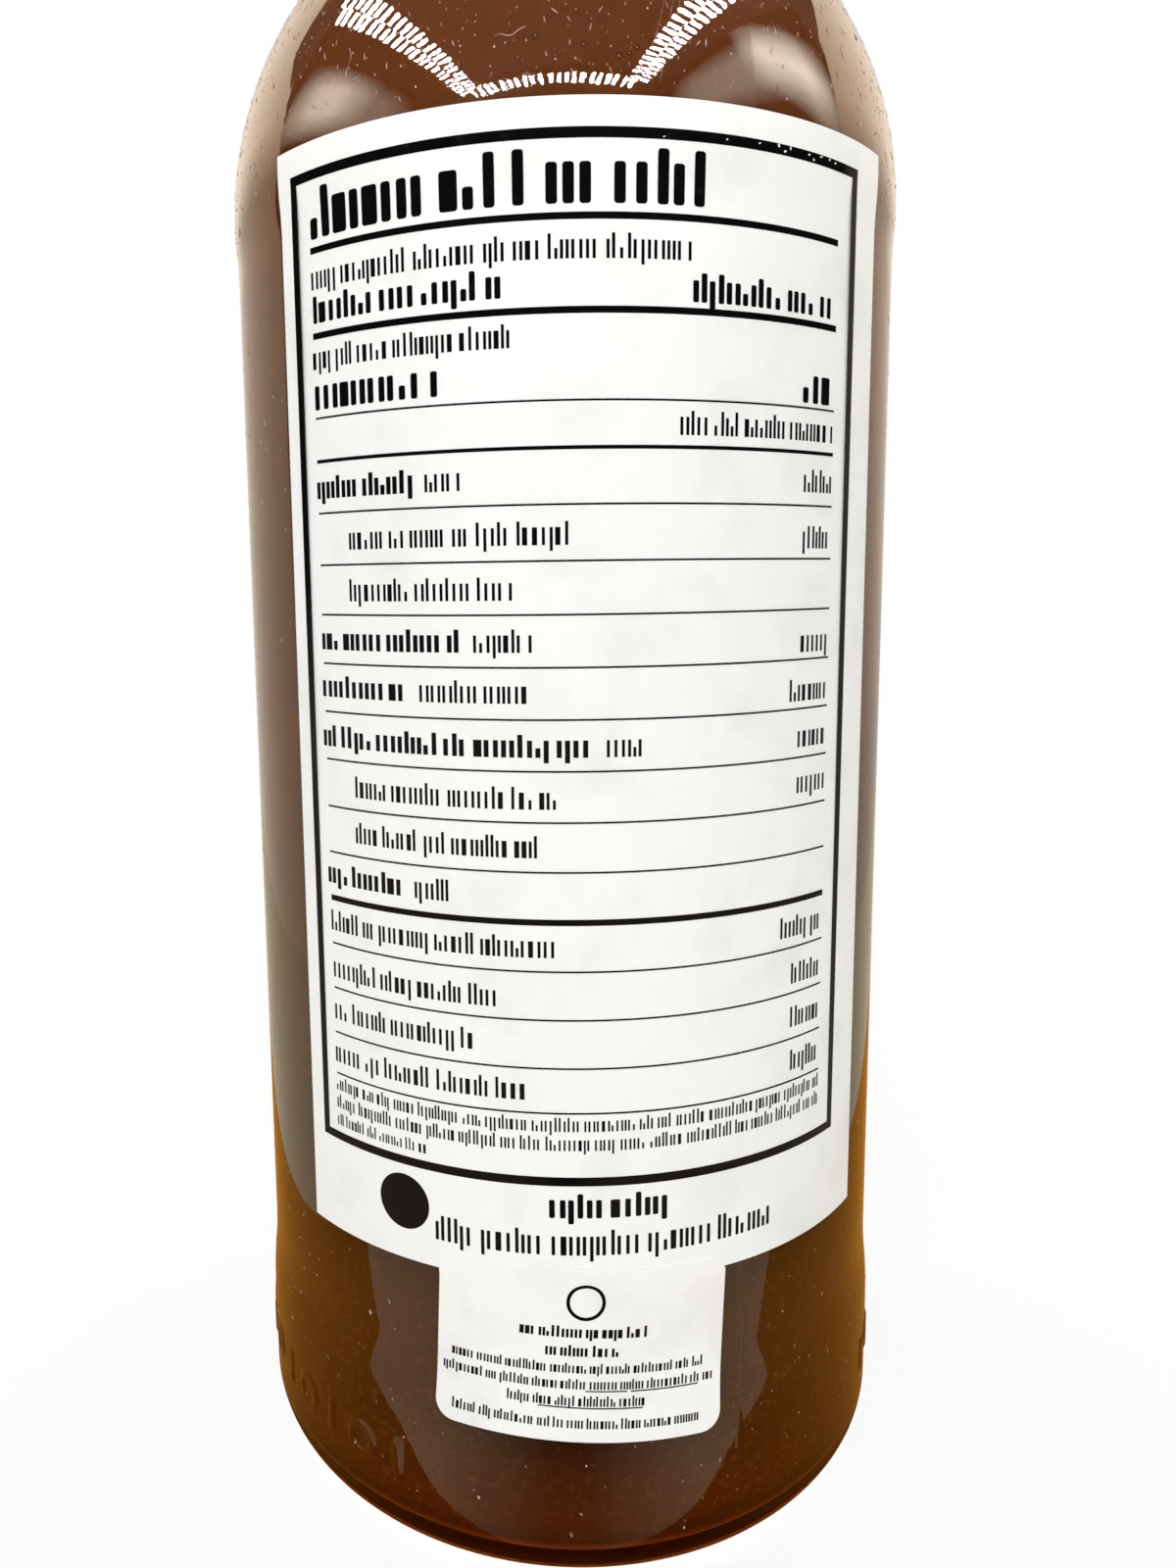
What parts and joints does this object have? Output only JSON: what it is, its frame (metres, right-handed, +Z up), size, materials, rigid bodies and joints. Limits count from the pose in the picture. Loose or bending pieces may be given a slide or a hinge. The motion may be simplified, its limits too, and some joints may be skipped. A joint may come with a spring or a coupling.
{
  "type": "fish paste bottle",
  "caption": "Round clear glass bottle of brown fish paste with a domed shoulder, tapered neck, ribbed screw cap, a paper label round its front and a small sticker that laps over the label.",
  "frame": {"origin": "centre of the base, on the surface that the bottle stands on", "axes": "+Z up the bottle's axis, -Y out of the label's face, +X to the right of the label as it is read"},
  "size_m": [0.0614, 0.0611, 0.1932],
  "materials": {
    "glass": "clear, smooth, fire-polished",
    "paste": "smooth, wet brown paste",
    "label_paper": "smooth white coated paper with dark print",
    "sticker_paper": "white coated paper with dark print",
    "cap_plastic": "white moulded plastic, ribbed"
  },
  "bodies": {
    "root": {"bottle": "glass", "bagoong_paste": "paste", "label": "label_paper", "sticker": "sticker_paper", "cap": "cap_plastic"}
  },
  "joints": []
}
